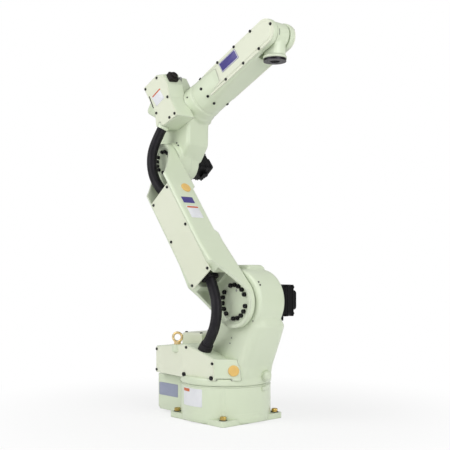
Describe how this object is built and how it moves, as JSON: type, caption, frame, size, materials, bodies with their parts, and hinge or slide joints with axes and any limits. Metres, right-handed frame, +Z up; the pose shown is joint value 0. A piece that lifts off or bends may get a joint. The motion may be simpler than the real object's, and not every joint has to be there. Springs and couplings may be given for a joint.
{
  "type": "industrial robot arm",
  "caption": "Floor standing articulated robot arm: swinging turntable, long lower arm with an offset cover side, compact upper arm, slim forearm, bending wrist and round tool flange.",
  "frame": {"origin": "on the first joint's axis, at the underside of the base plate", "axes": "+X forward, the way the arm reaches, +Z up, -Y the near side that carries the arm cover and the hoses"},
  "size_m": [0.8208, 0.452, 1.6578],
  "materials": {
    "mint_paint": "satin pale green machine paint on castings and covers",
    "motor_black": "semi gloss black motor paint",
    "hose_rubber": "matte black corrugated conduit",
    "zinc_steel": "yellow zinc plated steel",
    "ground_steel": "ground steel",
    "connector_black": "moulded black plastic",
    "plug_yellow": "moulded yellow plastic plug",
    "panel_grey": "grey connector panel",
    "flange_black": "black oxide steel"
  },
  "bodies": {
    "base": {"base_casting": "mint_paint", "base_connector_box": "mint_paint", "connector_panel": "panel_grey", "swing_bearing": "ground_steel"},
    "turntable": {"turntable_casting": "mint_paint", "conduit_box": "mint_paint", "conduit_side_cover": "mint_paint", "rear_top_cover": "mint_paint", "eye_bolt_near": "zinc_steel", "eye_bolt_far": "zinc_steel", "shoulder_motor": "motor_black", "stopper_lug": "mint_paint", "turntable_plug": "plug_yellow", "lower_hose_boot": "hose_rubber", "lower_hose": "hose_rubber"},
    "lower_arm": {"lower_arm_casting": "mint_paint", "lower_arm_cover": "mint_paint", "lower_arm_plug": "plug_yellow", "shoulder_reducer": "ground_steel", "shoulder_hose_boot": "hose_rubber", "elbow_hose_boot": "hose_rubber", "upper_hose": "hose_rubber"},
    "upper_arm": {"upper_arm_casting": "mint_paint", "elbow_reducer": "ground_steel", "elbow_motor": "motor_black", "cable_box": "mint_paint", "cable_box_cover": "mint_paint", "hose_spout": "mint_paint", "cable_connector": "connector_black"},
    "forearm": {"roll_bearing": "ground_steel", "forearm_casting": "mint_paint", "forearm_cover_near": "mint_paint", "forearm_cover_far": "mint_paint"},
    "wrist": {"wrist_casting": "mint_paint"},
    "tool": {"tool_flange": "flange_black"}
  },
  "joints": [
    {"name": "j1_swing", "type": "hinge", "parent": "base", "child": "turntable", "pos_m": [0, 0, 0.156], "axis": [0, 0, 1], "range_deg": [-170, 170]},
    {"name": "j2_lower_arm", "type": "hinge", "parent": "turntable", "child": "lower_arm", "pos_m": [0.18, 0, 0.512], "axis": [0, 1, 0], "range_deg": [-52.8, 192.2], "deforming": ["lower_hose"]},
    {"name": "j3_upper_arm", "type": "hinge", "parent": "lower_arm", "child": "upper_arm", "pos_m": [-0.29081, 0, 1.13137], "axis": [0, -1, 0], "range_deg": [-62, 163], "deforming": ["upper_hose"]},
    {"name": "j4_forearm_roll", "type": "hinge", "parent": "upper_arm", "child": "forearm", "pos_m": [-0.36809, 0, 1.30495], "axis": [0.9135, 0, 0.4067], "range_deg": [-155, 155]},
    {"name": "j5_wrist_bend", "type": "hinge", "parent": "forearm", "child": "wrist", "pos_m": [0.2988, 0, 1.60186], "axis": [0, -1, 0], "range_deg": [-3, 231]},
    {"name": "j6_tool_roll", "type": "hinge", "parent": "wrist", "child": "tool", "pos_m": [0.2988, 0, 1.50886], "axis": [0, 0, -1], "range_deg": [-205, 205]}
  ]
}
